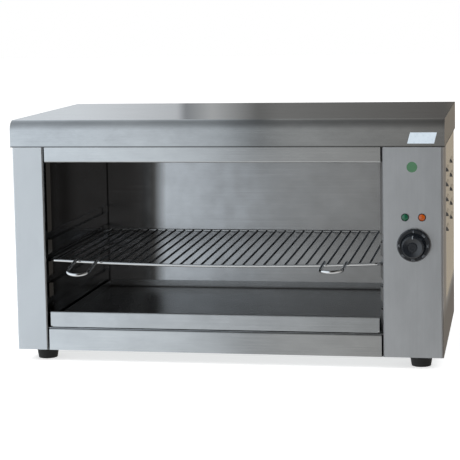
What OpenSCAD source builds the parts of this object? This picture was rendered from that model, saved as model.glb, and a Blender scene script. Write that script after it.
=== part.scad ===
// Electric salamander grill: an open-fronted counter grill with a louvred sheet steel
// casing, a heated chamber with four shelf grooves, a wire rack, a crumb tray and one dial.
// Units are millimetres, +Z is up and the front faces -Y.

/* [Casing] */
// Width over the two side panels
body_w = 606; // [570:1:660]
// Depth from the front face to the back panel
body_d = 340; // [330:1:400]
// Height of the casing from its lower edge to the cover
body_h = 290; // [280:1:320]
// Thickness of the casing sheet
sheet_t = 1; // [0.8:0.1:1.4]
// Outside radius of the sheet bends
bend_r = 2; // [1.6:0.1:3]
// Width of the post left of the opening
post_w = 44.6; // [40:0.1:56]
// Width of the control side right of the opening
panel_w = 82.8; // [78:0.1:96]
// Depth of the fold beside the opening
return_d = 5; // [4:0.1:7]
// Width of the folded flanges inside the casing
flange_w = 14; // [11:0.5:18]
// Radius of a louvre hood
louvre_r = 7; // [6:0.1:8]
// How far a louvre hood stands out of the wall
louvre_out = 3.5; // [2.5:0.1:4.5]
// Length of a louvre
louvre_l = 45; // [30:1:60]
// Distance of a louvre's middle from the middle of the side wall
louvre_mid = 64; // [50:1:80]
// Height from one louvre row to the next
louvre_pitch = 21; // [16:0.5:24]
// Height of the lowest louvre row above the casing's lower edge
louvre_low = 164; // [120:1:175]
// Louvre rows on each side
louvre_rows = 5; // [3:1:5]

/* [Top cover] */
// Height of the cover
cover_h = 41; // [36:0.5:50]
// How far the cover stands out past the casing
cover_over = 2; // [1.6:0.1:4]
// Thickness of the cover sheet
cover_t = 1.2; // [0.8:0.1:1.5]
// Radius of the round front edge
nose_r = 14; // [8:0.5:18]
// How much lower the top lies at the round edge than at the back
cover_fall = 3; // [0:0.5:4]

/* [Front rails] */
// Height of the upper rail that shows below the cover
upper_rail_h = 21.5; // [18:0.5:30]
// Height of the lower rail
lower_rail_h = 30.6; // [26:0.2:40]
// Gap between a rail's end and the casing beside it
rail_gap = 2.2; // [1:0.1:4]
// Depth of the rail's folded flanges
rail_d = 16; // [12:0.5:22]

/* [Chamber] */
// Thickness of the chamber sheet
liner_t = 0.8; // [0.6:0.1:1]
// Depth of the shelf grooves
groove_d = 4.5; // [3.5:0.1:6]
// Height of a shelf groove
groove_h = 13.5; // [10:0.5:16]
// Height from one groove to the next
groove_pitch = 31.1; // [26:0.1:33]
// Height of the lowest groove's floor above the casing's lower edge
groove_low = 63; // [60:0.5:70]
// Number of shelf grooves
groove_n = 4; // [3:1:5]
// Length of flat wall in front of the ridges between the grooves
ridge_in = 8.5; // [6:0.5:14]
// Gap between the chamber's back wall and the back panel
back_gap = 15; // [14:1:60]
// Height of the chamber's ceiling above the cover's lower edge
ceiling_up = 22; // [16:0.5:24]

/* [Rack] */
// Groove that holds the rack, counted from 0 at the bottom
rack_groove = 2; // [0:1:2]
// Diameter of the rim wire
rim_d = 4; // [3.4:0.1:5]
// Bend radius of the rim's corners
rim_bend = 8; // [6:0.5:14]
// Diameter of the bars
bar_d = 3; // [2.4:0.1:3.6]
// Spacing of the bars
bar_pitch = 14.9; // [13:0.1:18]
// How far the front wire has sagged in the middle
rack_sag = 5.5; // [1:0.1:7]
// Gap between the rim and the edge of the opening
rack_side = 1.2; // [0.8:0.1:1.8]
// Distance of the front wire behind the front face
rack_back = 12; // [6:0.5:18]
// Diameter of the handle wire
handle_d = 4.4; // [3.6:0.1:5]
// Width of a handle between its wire centres
handle_w = 31; // [28:0.5:36]
// Length of a handle's straight leg in front of the rim
handle_leg = 10; // [8:0.5:20]
// Length of a handle's sloping leg
handle_slope = 37; // [20:0.5:42]
// Angle that the handles bend down by
handle_drop = 7.5; // [6:0.5:20]
// How much further the left handle is bent down, and how much less the right one
handle_skew = 4.5; // [0:0.5:5]
// Distance from the rack's middle to a handle's middle
handle_mid = 176.5; // [140:0.5:190]
// How far the bars and the handles stand to the left of even places
wires_left = 3.5; // [0:0.5:6]

/* [Crumb tray] */
// Thickness of the tray sheet
tray_t = 0.8; // [0.6:0.1:1.2]
// Height of the tray's front lip
tray_lip = 21.7; // [16:0.1:26]
// Height of the tray's side and back walls
tray_wall = 12; // [8:0.5:18]
// Height of the runners that carry the tray
runner_h = 2; // [1.5:0.1:3]
// Gap beside the lip
tray_side = 5; // [3:0.1:8]

/* [Heating] */
// Diameter of the heating tubes
tube_d = 8; // [6.5:0.1:9]
// Distance between the two legs of a heating tube
tube_gap = 56; // [40:1:60]
// Distance of the tubes below the ceiling
tube_drop = 20; // [14:0.5:26]
// Distance of the first tube leg behind the front face
tube_front = 62; // [50:1:75]
// Distance from one heating tube to the next
tube_pitch = 118; // [100:1:125]

/* [Controls] */
// Distance of the dial from the right edge of the casing
dial_in = 40.5; // [36:0.5:44]
// Height of the dial above the casing's lower edge
dial_h = 156; // [110:1:170]
// Diameter of the dial's skirt
dial_d = 45; // [40:0.5:50]
// Diameter of the dial's grip
grip_d = 32; // [26:0.5:35]
// Height of the grip in front of the skirt
grip_h = 17; // [12:0.5:22]
// Diameter of the thermostat shaft
shaft_d = 6; // [5:0.1:6.4]
// Height of the lamps above the dial's middle
lamp_up = 38; // [34:0.5:50]
// Distance between the lamps
lamp_gap = 23; // [20:0.5:28]
// Diameter of a lamp's ring
lamp_d = 11; // [10:0.1:14]

/* [Feet] */
// Height of the rubber feet
foot_h = 18; // [14:0.5:30]
// Diameter of a foot at its top
foot_d = 33; // [28:0.5:38]
// Distance of a foot's middle from the side of the casing
foot_in = 33; // [24:0.5:36]
// Distance of a foot's middle from the front and the back
foot_back = 36; // [26:1:60]

/* [Mains entry] */
// Bore of the cord gland
gland_bore = 8.5; // [6:0.1:9.5]
// How far the cord gland stands out of the back
gland_out = 20; // [14:0.5:26]
// Height of the cord gland above the casing's lower edge
gland_h = 52; // [45:1:70]

/* [Hidden] */
$fn = 48;
// Gap under a piece that slides
seat = 0.3;
// Gap of a wire or pin in its hole
run = 0.05;
// Gap of a fastener in its hole
loose = 0.15;
// Depth to which welded wires sink into each other, side on and end on
weld = 0.3;
bar_sink = 0.7;
// Overlap that makes a cut clean
cut = 1;

half_w = body_w / 2;
base_z = foot_h;
cover_z = base_z + body_h;
top_z = cover_z + cover_h;
cover_under = top_z - cover_t;
wall_top = cover_under - cover_fall;
// Height of the casing fronts, which end below the round edge of the cover
front_h = body_h + cover_h - cover_fall - nose_r - 1;

// Handle: bend into the slope, length of a leg behind the rim, and reach of a loop before it
handle_turn = 15;
handle_tail = 1.2;
handle_r = handle_w / 2;
function loop_reach(drop) =
    handle_leg + handle_turn * sin(drop) + (handle_slope + handle_r) * cos(drop);
handle_fore = max(loop_reach(handle_drop - handle_skew), loop_reach(handle_drop + handle_skew));
front_reach = handle_fore - rack_back + handle_d / 2;
depth_all = front_reach + body_d + gland_out;
front_y = -depth_all / 2 + front_reach;
back_y = front_y + body_d;

// Opening between the post and the control panel
open_l = -half_w + post_w;
open_r = half_w - panel_w;
mid_x = (open_l + open_r) / 2;
liner_l = open_l + groove_d;
liner_r = open_r - groove_d;
liner_y = front_y + return_d;
rear_y = back_y - back_gap;
chamber_d = rear_y - liner_y;
floor_z = base_z + lower_rail_h;
floor_top = floor_z + liner_t;
ceiling_z = cover_z + ceiling_up;
rail_z = cover_z - upper_rail_h;
// How far the chamber's flat sheets reach past the opening, and width of their folds
sheet_past = 4;
liner_fold = 9;
// Height of the sloping roof of a groove, length of a ridge's slanted front end, and depth of
// the dish in the ceiling
groove_slope = 3.6;
ridge_slant = 5;
ceiling_dish = 2;

// Rack centre lines
rim_r = rim_d / 2;
rim_z = base_z + groove_low + rack_groove * groove_pitch + seat + rim_r;
rack_l = open_l + rack_side + rim_r;
rack_r = open_r - rack_side - rim_r;
rack_y = front_y + rack_back;
rack_rear = rear_y - seat - rim_r;
rack_half = (rack_r - rack_l) / 2;
bars_side = floor((rack_half - rim_d - bar_d - wires_left) / bar_pitch);
// Front wire: an arc that leaves each corner at this slope
sag_slope = 2 * atan(rack_sag / rack_half);
sag_half = rack_half - rim_bend * cos(sag_slope);
sag_r = sag_half / sin(sag_slope);
sag_end = rim_z - rim_bend * sin(sag_slope);
function front_wire_z(x) = sag_end - (sqrt(pow(sag_r, 2) - pow(x, 2)) - sag_r * cos(sag_slope));
// Steps along the front wire and round each corner, and sides of the wire
sag_steps = 12;
bend_steps = 6;
wire_sides = 12;
function front_wire_x(k) = sag_half * (2 * k / sag_steps - 1);

// Tray
tray_gap = 3;
tray_z = floor_top + runner_h + seat;
tray_l = liner_l + tray_gap;
tray_r = liner_r - tray_gap;
tray_rear = rear_y - seat;
// Runners: width, and distance from the tray's side and from the ends of the floor
runner_w = 12;
runner_in = 30;
runner_end = 15;

// Heating tubes
tube_z = ceiling_z - tube_drop;
tube_bend_gap = 24;
tube_past = 18;
tube_left = liner_l + tube_bend_gap;
tube_right = open_r + tube_past;
tube_rows = [for (k = [0, 1]) front_y + tube_front + k * tube_pitch];
tube_legs = [for (y = tube_rows, k = [0, 1]) y + k * tube_gap];
bush_wall = 2;
bush_rim = 2.5;
locknut_rim = 3;
bush_d = tube_d + 2 * bush_wall;
bush_flange = 2.5;
nut_t = 4;
bush_l = liner_t + nut_t + 2;
pin_d = 3;
pin_l = 18;
insulator_l = 6;
// Flat blade of a push-on connector
blade_w = 6.4;
blade_t = 0.8;
blade_l = 10;
// Strips that carry the tubes: distance from the tubes' bends and from the right liner
hanger_l = 58;
hanger_r = 122;
hanger_t = 1.2;
hanger_fold = 14;

// Thermostat bulb under the ceiling, on the back liner
sensor_d = 6;
sensor_l = 110;
sensor_back = 10;
sensor_drop = 34;
sensor_side = 12;
sensor_y = rear_y - sensor_back;
sensor_z = ceiling_z - sensor_drop;
bulb_x = liner_r - sensor_side;
capillary_d = 2;
capillary_bend = 10;
capillary_up = 8;
clip_w = 8;
clip_t = 1.5;
clip_in = 10;
clip_drop = 12;

// Dial and lamps
dial_x = half_w - dial_in;
dial_z = base_z + dial_h;
skirt_back = 3;
skirt_h = 5;
shaft_hole = shaft_d + 5;
// Flat on the shaft, wall in front of its end, and gap at that end
shaft_flat = 1.2;
knob_wall = 4;
shaft_gap = 1;
// Thermostat housing and its mounting plate, behind the control panel
stat_w = 38;
stat_h = 34;
stat_t = 30;
stat_bolt = 28;
plate_h = 22;
plate_t = 1.5;
plate_r = 4;
stat_screw_l = 7;
stat_y = front_y + sheet_t + plate_t;
lamp_z = dial_z + lamp_up;
lamp_barrel = lamp_d - 1;
lamp_ring_h = 1.6;
lamp_barrel_l = 22;
lamp_nut_t = 3;
// Lens: diameter, height of its middle and of its edge, depth in the ring
lens_d = lamp_d - 2;
lens_out = 2.6;
lens_edge = 1.3;
lens_in = 1;

// Feet, screws and mains entry
foot_low_d = foot_d - 6;
foot_screw_d = 5;
foot_recess = 14;
screw_d = 4;
head_d = 7.5;
head_h = 2.2;
back_screw_in = 40;
cover_screw_in = 60;
gland_x = dial_x;
gland_z = base_z + gland_h;
gland_thread = gland_bore + 7;
gland_hex = gland_thread + 6;
gland_in = 12;
earth_gap = 32;
earth_x = gland_x - earth_gap;
earth_d = 5;
earth_in = 12;
earth_out = 14;
// Terminal block: size, place, and its screws in two rows
terminal_w = 48;
terminal_d = 22;
terminal_h = 18;
terminal_back = 80;
terminal_y = back_y - terminal_back;
terminal_pitch = 14;
terminal_row = 6;
terminal_screw = 6;
terminal_deep = 5;
// Vent slots in the back panel: size, spacing, and place from the side and the top
vent_l = 46;
vent_w = 4;
vent_pitch = 12;
vent_rows = 5;
vent_in = 120;
vent_down = 40;

steel = "#c3c7cb";
dark_steel = "#8d9296";
chrome = "#dde1e4";
black = "#1b1c1e";
fastener = "#b9bcc0";
brass = "#c9a227";
ceramic = "#e8e4da";
copper = "#b87333";

// Rectangle with round corners, its lower left corner at the origin
module round_rect(w, h, r) {
    translate([r, 0]) square([w - 2 * r, h]);
    translate([0, r]) square([w, h - 2 * r]);
    for (x = [r, w - r], y = [r, h - r])
        translate([x, y]) circle(r);
}

// Section of a sheet folded all round a rectangle
module folded(w, h, t, r) {
    difference() {
        round_rect(w, h, r);
        translate([t, t]) round_rect(w - 2 * t, h - 2 * t, r - t);
    }
}

// A section drawn in Y and Z, run along X
module along_x(x, len) {
    translate([x, 0, 0]) rotate([90, 0, 90]) linear_extrude(len) children();
}

// A section drawn in X and Z, run along Y
module along_y(y, len) {
    translate([0, y + len, 0]) rotate([90, 0, 0]) linear_extrude(len) children();
}

// Turns a shape drawn upwards so that it points out of the front
module facing_front(x, y, z) {
    translate([x, y, z]) rotate([90, 0, 0]) children();
}

// Turns a shape drawn upwards so that it points out of the back
module facing_back(x, y, z) {
    translate([x, y, z]) rotate([-90, 0, 0]) children();
}

// Box between two corners
module block(low, high) {
    translate(low) cube(high - low);
}

// Arc of wire in the plane of X and Y, round the origin
module wire_arc(r, d, start, angle) {
    rotate_extrude(angle = angle, start = start) translate([r, 0]) circle(d / 2, $fn = 24);
}

// Straight wire that runs up from the origin
module wire(d, len) {
    cylinder(d = d, h = len, $fn = 24);
}

// Bead that closes the seam between two stretches of wire
module bead(d) {
    sphere(d = d + 2 * run, $fn = 24);
}

// Inside of a louvre: the space under the hood, run through the wall behind it
module louvre_space(r, len) {
    intersection() {
        translate([louvre_out - louvre_r, len / 2, 0]) rotate([90, 0, 0]) cylinder(r = r, h = len);
        block([-sheet_t - cut, -len, 0], [louvre_r, len, louvre_r]);
    }
}

// Hood of a louvre, its wall face at x = 0 and its mouth facing down
module louvre_hood() {
    intersection() {
        louvre_space(louvre_r, louvre_l);
        block([-sheet_t / 2, -louvre_l, 0], [louvre_r, louvre_l, louvre_r]);
    }
}

// Places the louvres of one side wall, with its outer face at x = 0
module louvre_places() {
    for (col = [-1, 1], row = [0 : louvre_rows - 1])
        translate([0, front_y + body_d / 2 + col * louvre_mid,
            base_z + louvre_low + row * louvre_pitch]) children();
}

// Side wall, drawn for the right: wall, rear flange and top flange, with its louvres
module side_wall(front_edge) {
    wall_h = wall_top - base_z;
    side_d = body_d - sheet_t;
    difference() {
        union() {
            translate([half_w - panel_w, front_y, base_z]) linear_extrude(wall_h) difference() {
                translate([0, -bend_r]) folded(panel_w, side_d + bend_r, sheet_t, bend_r);
                translate([-cut, -bend_r - cut]) square([panel_w + 2 * cut, front_edge + bend_r + cut]);
                translate([-cut, 0]) square([panel_w - flange_w + cut, side_d + cut]);
            }
            block([half_w - flange_w, front_y + nose_r, wall_top - sheet_t],
                [half_w - sheet_t / 2, back_y - 2 * sheet_t, wall_top]);
            translate([half_w, 0, 0]) louvre_places() louvre_hood();
        }
        translate([half_w, 0, 0]) louvre_places()
            louvre_space(louvre_r - sheet_t, louvre_l - 2 * sheet_t);
        block([half_w - panel_w, front_y - cut, base_z + front_h],
            [half_w + cut, front_y + nose_r, top_z]);
        back_screw_places(1) cylinder(d = screw_d + 2 * loose, h = 8 * sheet_t, center = true);
    }
}

// Places of the back panel's screws on one side
module back_screw_places(side) {
    for (k = [0, 1, 2])
        translate([side * (half_w - flange_w / 2), back_y,
            base_z + back_screw_in + k * (body_h / 2 - back_screw_in)]) rotate([-90, 0, 0]) children();
}

module left_side_panel() {
    side_d = body_d - sheet_t;
    color(steel) {
        mirror([1, 0, 0]) side_wall(bend_r);
        translate([-half_w, front_y, base_z]) linear_extrude(front_h) difference() {
            folded(post_w, side_d, sheet_t, bend_r);
            translate([sheet_t / 2, return_d]) square([post_w, side_d]);
            translate([-cut, flange_w]) square([post_w, side_d]);
        }
    }
}

module right_side_panel() {
    color(steel) side_wall(sheet_t);
}

module control_panel() {
    w = panel_w - sheet_t;
    color(steel) difference() {
        translate([open_r, front_y, base_z]) linear_extrude(front_h) difference() {
            folded(w, 2 * flange_w, sheet_t, bend_r);
            translate([-cut, return_d]) square([w - bend_r + cut, 2 * flange_w]);
            translate([-cut, flange_w]) square([w + 2 * cut, 2 * flange_w]);
        }
        facing_front(dial_x, front_y + 2 * sheet_t, dial_z) cylinder(d = shaft_hole, h = 4 * sheet_t);
        stat_screw_places(2 * sheet_t) cylinder(d = screw_d + 2 * loose, h = 4 * sheet_t);
        for (side = [-1, 1])
            facing_front(dial_x + side * lamp_gap / 2, front_y + 2 * sheet_t, lamp_z)
                cylinder(d = lamp_barrel + 2 * run, h = 4 * sheet_t);
    }
}

module top_cover() {
    outer_d = body_d + 2 * cover_over;
    color(steel) difference() {
        along_x(-half_w - cover_over, body_w + 2 * cover_over)
            cover_section(0, outer_d, cover_h, nose_r);
        along_x(-half_w - cover_over + cover_t, body_w + 2 * (cover_over - cover_t))
            cover_section(cover_t, outer_d - 2 * cover_t, cover_h - cover_t, nose_r - cover_t);
        cover_screw_places() cylinder(d = screw_d + 2 * loose, h = 8 * cover_t, center = true);
    }
}

// Side view of the cover: a top that falls to a round upper front corner
module cover_section(inset, d, h, r) {
    skirt = inset > 0 ? cut : 0;
    nose_z = h + skirt - cover_fall;
    translate([front_y - cover_over + inset, cover_z - skirt]) difference() {
        polygon([[0, 0], [d, 0], [d, h + skirt], [r, nose_z], [0, nose_z]]);
        translate([0, nose_z - r]) difference() {
            translate([-cut, 0]) square([r + cut, r + cut]);
            translate([r, 0]) circle(r);
            translate([r, -cut]) square([r, r + 2 * cut]);
        }
    }
}

// Places of the screws through the cover's back
module cover_screw_places() {
    for (k = [-1, 0, 1])
        translate([k * (half_w - cover_screw_in), back_y + cover_over, cover_z + cover_h / 2])
            rotate([-90, 0, 0]) children();
}

// Front rail: a folded channel with its open side to the back
module rail(z, h) {
    along_x(open_l + rail_gap, open_r - open_l - 2 * rail_gap) translate([front_y, z]) difference() {
        folded(2 * rail_d, h, sheet_t, bend_r);
        translate([rail_d, -cut]) square([2 * rail_d, h + 2 * cut]);
    }
}

module upper_front_rail() {
    color(steel) rail(rail_z, ceiling_z - rail_z);
}

module lower_front_rail() {
    color(steel) {
        rail(base_z + sheet_t, floor_z - base_z - sheet_t);
        block([open_l + rail_gap, front_y, base_z],
            [open_r - rail_gap, front_y + sheet_t, base_z + 2 * bend_r + sheet_t]);
    }
}

// Back panel with two banks of vent slots near its top
module back_panel() {
    color(steel) difference() {
        block([-half_w + bend_r, back_y - sheet_t, base_z],
            [half_w - bend_r, back_y, cover_under - sheet_t]);
        for (side = [-1, 1], k = [0 : vent_rows - 1])
            translate([side * (half_w - vent_in), back_y, cover_z - vent_down - k * vent_pitch])
                cube([vent_l, 4 * sheet_t, vent_w], center = true);
        for (side = [-1, 1])
            back_screw_places(side) cylinder(d = screw_d + 2 * loose, h = 8 * sheet_t, center = true);
        translate([0, -cover_over, 0]) cover_screw_places()
            cylinder(d = screw_d + 2 * loose, h = 8 * sheet_t, center = true);
        facing_back(gland_x, back_y - 2 * sheet_t, gland_z)
            cylinder(d = gland_thread + 2 * loose, h = 4 * sheet_t);
        facing_back(earth_x, back_y - 2 * sheet_t, gland_z)
            cylinder(d = earth_d + 2 * loose, h = 4 * sheet_t);
    }
}

module base_plate() {
    wall = 15;
    low = [-half_w + sheet_t, front_y + bend_r, base_z];
    high = [half_w - sheet_t, back_y - sheet_t - bend_r, base_z + wall];
    side_front = front_y + flange_w + loose;
    color(dark_steel) difference() {
        block(low, high);
        block([low.x + sheet_t, low.y - cut, base_z + sheet_t],
            [high.x - sheet_t, high.y - sheet_t, high.z + cut]);
        // Corners cut away behind the post and the control panel
        block([low.x - cut, low.y - cut, base_z - cut], [open_l + loose, side_front, high.z + cut]);
        block([open_r - loose, low.y - cut, base_z - cut], [high.x + cut, side_front, high.z + cut]);
        foot_places() cylinder(d = foot_screw_d + 2 * loose, h = 3 * sheet_t, center = true);
    }
}

// Places of the four feet under the base plate
module foot_places() {
    for (side = [-1, 1], y = [front_y + foot_back, back_y - foot_back])
        translate([side * (half_w - foot_in), y, base_z]) children();
}

// Height of groove k's floor
function groove_z(k) = base_z + groove_low + k * groove_pitch;

// Side view of the chamber's left wall, moved out by a thickness and run past its ends
function liner_line(out, past) = [
    [liner_l - out, floor_top - past],
    for (k = [0 : groove_n - 1]) each [
        [liner_l - out, groove_z(k) - out],
        [open_l - out, groove_z(k) - out],
        [open_l - out, groove_z(k) + groove_h - groove_slope + out / 2],
        [liner_l - out, groove_z(k) + groove_h + out / 2]],
    [liner_l - out, ceiling_z + past]];

function reversed(list) = [for (k = [len(list) - 1 : -1 : 0]) list[k]];

// Body behind the left wall's surface: the ridges between the grooves start at a slanted end
module liner_body(out, past) {
    far_x = open_l - flange_w - past;
    slant = ridge_slant / groove_d;
    difference() {
        along_y(liner_y - past, chamber_d + 2 * past) polygon(
            concat(liner_line(out, past), [[far_x, ceiling_z + past], [far_x, floor_top - past]]));
        translate([open_l - out, liner_y + ridge_in, floor_top - 2 * past - cut])
            linear_extrude(ceiling_z - floor_top + 4 * past + 2 * cut) polygon([
                [0, 0], [2 * groove_d, 2 * groove_d * slant], [2 * groove_d, -ridge_in - 2 * past - cut],
                [0, -ridge_in - 2 * past - cut]]);
    }
}

// Left wall of the chamber: a sheet with pressed ridges and an outward front flange
module liner() {
    flange_x = open_l - flange_w;
    difference() {
        union() {
            difference() {
                liner_body(0, 0);
                liner_body(liner_t, cut);
            }
            block([flange_x, liner_y, floor_top], [open_l - liner_t / 2, liner_y + liner_t, ceiling_z]);
        }
        // Room for the upper rail
        block([flange_x - cut, liner_y - cut, rail_z - seat],
            [liner_l + cut, front_y + rail_d + seat, ceiling_z + cut]);
    }
}

module left_liner() {
    color(dark_steel) liner();
}

module right_liner() {
    color(dark_steel) difference() {
        translate([2 * mid_x, 0, 0]) mirror([1, 0, 0]) liner();
        for (y = tube_legs)
            translate([liner_r - cut, y, tube_z]) rotate([0, 90, 0])
                cylinder(d = bush_d + 2 * loose, h = 2 * cut + liner_t);
        translate([liner_r - cut, sensor_y, sensor_z]) rotate([0, 90, 0])
            cylinder(d = sensor_d + 2 * loose, h = 2 * cut + liner_t);
    }
}

module back_liner() {
    color(dark_steel) {
        block([open_l - sheet_past, rear_y, base_z + sheet_t],
            [open_r + sheet_past, rear_y + liner_t, ceiling_z]);
        block([open_l - sheet_past, rear_y, base_z + sheet_t],
            [open_r + sheet_past, rear_y + liner_fold, base_z + sheet_t + liner_t]);
    }
}

module chamber_floor() {
    color(dark_steel) {
        block([open_l - sheet_past, liner_y, floor_z], [open_r + sheet_past, rear_y, floor_top]);
        block([open_l - sheet_past, rear_y - liner_t, floor_z - liner_fold],
            [open_r + sheet_past, rear_y, floor_top]);
        // Raised runners under the tray
        for (x = [tray_l + runner_in, tray_r - runner_in - runner_w])
            block([x, liner_y + runner_end, floor_z],
                [x + runner_w, rear_y - runner_end, floor_top + runner_h]);
    }
}

// Bright plate above the tubes, dished upwards between its edges
module ceiling_reflector() {
    low = [liner_l, front_y + rail_d, ceiling_z];
    high = [liner_r, rear_y - liner_t, ceiling_z + ceiling_dish];
    color("#d5d8da") difference() {
        union() {
            block([open_l - sheet_past, liner_y + loose, ceiling_z],
                [open_r + sheet_past, rear_y + liner_t, ceiling_z + liner_t]);
            block([low.x - liner_t, low.y - liner_t, low.z],
                [high.x + liner_t, high.y + liner_t, high.z + liner_t]);
        }
        block([low.x, low.y, low.z - cut], high);
    }
}

module crumb_tray() {
    lip_l = open_l + tray_side;
    lip_r = open_r - tray_side;
    hem = return_d - 1;
    color(steel) {
        difference() {
            block([tray_l, front_y, tray_z], [tray_r, tray_rear, tray_z + tray_wall]);
            block([tray_l + tray_t, front_y + tray_t, tray_z + tray_t],
                [tray_r - tray_t, tray_rear - tray_t, tray_z + tray_wall + cut]);
        }
        // Front lip, folded back at its top
        along_x(lip_l, lip_r - lip_l) translate([front_y, tray_z]) difference() {
            folded(2 * hem, tray_lip, tray_t, bend_r);
            translate([hem, -cut]) square([2 * hem, tray_lip + 2 * cut]);
            translate([bend_r, -cut]) square([hem, tray_lip / 2]);
        }
    }
}

// Points of a quarter bend that starts along -Y: x grows from 0 to r and y falls from 0 to -r
function bend_points(r) = [for (k = [0 : bend_steps])
    let (turn = 90 * k / bend_steps) r * [1 - cos(turn), -sin(turn)]];

// Left half of the rim's line, from the back wire round to the front wire, with x from mid_x
function rim_half() = concat(
    [for (p = reversed(bend_points(rim_bend))) [p.x - rack_half, rack_rear - rim_bend - p.y, rim_z]],
    [for (p = bend_points(rim_bend))
        [p.x * cos(sag_slope) - rack_half, rack_y + rim_bend + p.y, rim_z - p.x * sin(sag_slope)]],
    [for (k = [1 : sag_steps / 2 - 1]) [front_wire_x(k), rack_y, front_wire_z(front_wire_x(k))]]);

// Corners of a ring of wire at point p, square to the line's direction there
function wire_ring(p, along, d) =
    let (t = along / norm(along), side = cross(t, [0, 0, 1]), u = side / norm(side), v = cross(u, t))
    [for (k = [0 : wire_sides - 1])
        p + d / 2 * (cos(360 * k / wire_sides) * u + sin(360 * k / wire_sides) * v)];

// Closed loop of wire through the given points
module wire_loop(line, d) {
    n = len(line);
    rings = [for (k = [0 : n - 1]) wire_ring(line[k], line[(k + 1) % n] - line[(k + n - 1) % n], d)];
    function corner(k, j) = (k % n) * wire_sides + j % wire_sides;
    polyhedron([for (ring = rings) each ring], [for (k = [0 : n - 1], j = [0 : wire_sides - 1]) each [
        [corner(k, j), corner(k, j + 1), corner(k + 1, j)],
        [corner(k, j + 1), corner(k + 1, j + 1), corner(k + 1, j)]]]);
}

// Closed rim wire with four bent corners and a sagging front
module rack_rim() {
    half = rim_half();
    middle = [0, rack_y, front_wire_z(0)];
    mirrored = [for (p = reversed(half)) [-p.x, p.y, p.z]];
    color(chrome) translate([mid_x, 0, 0]) wire_loop(concat(half, [middle], mirrored), rim_d);
}

// Bars from the straight back wire to the sagging front wire, their ends sunk into the rim
module rack_bars() {
    end = rim_r - bar_sink;
    span = rack_rear - rack_y;
    color(chrome) for (k = [-bars_side : bars_side]) {
        x = k * bar_pitch - wires_left;
        drop = rim_z - front_wire_z(x);
        translate([mid_x + x, rack_rear, rim_z]) rotate([90 + atan(drop / span), 0, 0])
            translate([0, 0, end]) cylinder(d = bar_d, h = norm([span, drop]) - 2 * end, $fn = 24);
    }
}

// Handle loop: two legs across the front wire, bent down and closed by a half ring
module rack_handle(side) {
    x = side * handle_mid - wires_left;
    drop = handle_drop - side * handle_skew;
    translate([mid_x + x, rack_y, front_wire_z(x) + rim_r + handle_d / 2 - weld]) {
        for (leg = [-1, 1]) translate([leg * handle_r, -handle_leg, 0]) {
            translate([0, handle_tail + handle_leg, 0]) rotate([90, 0, 0])
                wire(handle_d, handle_tail + handle_leg);
            bead(handle_d);
            translate([0, 0, -handle_turn]) rotate([90, 0, 90])
                wire_arc(handle_turn, handle_d, 90, drop);
        }
        translate([0, -handle_leg - handle_turn * sin(drop), handle_turn * (cos(drop) - 1)])
            rotate([drop, 0, 0]) {
                for (leg = [-1, 1]) translate([leg * handle_r, 0, 0]) {
                    bead(handle_d);
                    rotate([90, 0, 0]) wire(handle_d, handle_slope);
                    translate([0, -handle_slope, 0]) bead(handle_d);
                }
                translate([0, -handle_slope, 0]) wire_arc(handle_r, handle_d, 180, 180);
            }
    }
}

module rack_handle_left() {
    color(chrome) rack_handle(-1);
}

module rack_handle_right() {
    color(chrome) rack_handle(1);
}

// Hairpin heating tube with both ends through the right liner
module heating_tube(y) {
    r = tube_gap / 2;
    translate([tube_left + r, y + r, tube_z]) {
        rotate_extrude(angle = 180, start = 90) translate([r, 0]) circle(d = tube_d, $fn = 32);
        for (side = [-1, 1]) translate([0, side * r, 0]) rotate([0, 90, 0])
            cylinder(d = tube_d, h = tube_right - tube_left - r, $fn = 32);
    }
}

module front_heating_tube() {
    color("#6d6a66") heating_tube(tube_rows[0]);
}

module rear_heating_tube() {
    color("#6d6a66") heating_tube(tube_rows[1]);
}

// Places of the four tube ends where they pass the right liner, pointing to the right
module tube_end_places(x) {
    for (y = tube_legs)
        translate([x, y, tube_z]) rotate([0, 90, 0]) children();
}

module tube_bushings() {
    color("#b08d57") tube_end_places(liner_r) difference() {
        union() {
            translate([0, 0, -bush_flange]) cylinder(d = bush_d + 2 * bush_rim, h = bush_flange, $fn = 6);
            translate([0, 0, -bush_flange / 2]) cylinder(d = bush_d, h = bush_flange / 2 + bush_l);
        }
        translate([0, 0, -bush_flange - cut])
            cylinder(d = tube_d + 2 * run, h = bush_flange + bush_l + 2 * cut);
    }
}

module tube_locknuts() {
    color(fastener) tube_end_places(liner_r + liner_t) difference() {
        cylinder(d = bush_d + 2 * locknut_rim, h = nut_t, $fn = 6);
        translate([0, 0, -cut]) cylinder(d = bush_d + 2 * run, h = nut_t + 2 * cut);
    }
}

module tube_insulators() {
    color(ceramic) tube_end_places(tube_right) difference() {
        cylinder(d = tube_d - 1, h = insulator_l);
        translate([0, 0, -cut]) cylinder(d = pin_d + 2 * run, h = insulator_l + 2 * cut);
    }
}

module tube_terminals() {
    color(fastener) tube_end_places(tube_right) {
        cylinder(d = pin_d, h = pin_l);
        translate([-blade_w / 2, -blade_t / 2, pin_l - blade_l]) cube([blade_w, blade_t, blade_l]);
    }
}

// Strip under the ceiling that carries the four tube legs, folded over at its top
module tube_hanger(x) {
    low_y = tube_legs[0] - hanger_fold;
    high_y = tube_legs[3] + hanger_fold;
    top = ceiling_z + ceiling_dish;
    difference() {
        union() {
            block([x, low_y, tube_z - tube_d], [x + hanger_t, high_y, top]);
            block([x, low_y, top - hanger_t], [x + hanger_fold, high_y, top]);
        }
        for (y = tube_legs)
            translate([x - cut, y, tube_z]) rotate([0, 90, 0])
                cylinder(d = tube_d + 2 * seat, h = hanger_t + 2 * cut);
    }
}

module left_tube_hanger() {
    color(dark_steel) tube_hanger(tube_left + hanger_l);
}

module right_tube_hanger() {
    color(dark_steel) tube_hanger(liner_r - hanger_r);
}

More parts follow.
